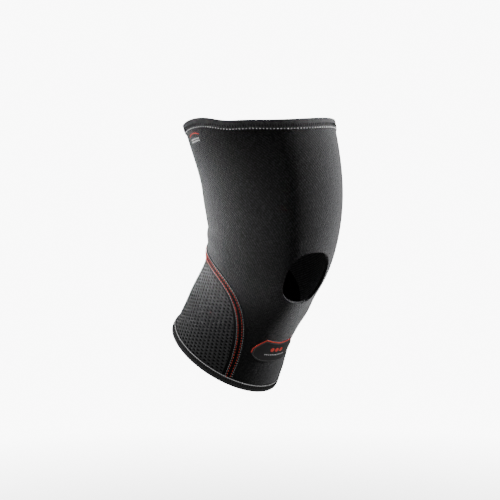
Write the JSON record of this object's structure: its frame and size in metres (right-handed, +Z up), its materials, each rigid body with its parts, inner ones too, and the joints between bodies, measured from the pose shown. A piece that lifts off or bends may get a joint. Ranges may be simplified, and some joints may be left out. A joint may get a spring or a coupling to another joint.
{
  "type": "knee sleeve",
  "caption": "Bent, hollow cloth knee sleeve with a kneecap window at the front, a mesh calf panel under an arched seam, folded edge bindings and a raised shin badge.",
  "frame": {"origin": "inside the knee, on the leg's axis, behind the middle of the kneecap window", "axes": "+Z up towards the thigh, -Y to the front of the knee, +X to the wearer's left"},
  "size_m": [0.1444, 0.1925, 0.2777],
  "materials": {
    "knit": "fine dark grey jersey with a soft sheen",
    "mesh_cloth": "mid grey mesh with slanted oval dimples",
    "binding": "smooth dark edge tape",
    "seam_thread": "red and grey flat seam threads",
    "badge_rubber": "satin dark rubber"
  },
  "bodies": {
    "root": {"body_panel": "knit", "mesh_panel": "mesh_cloth", "arch_seam": "seam_thread", "top_binding": "binding", "bottom_binding": "binding", "badge": "badge_rubber"}
  },
  "joints": []
}
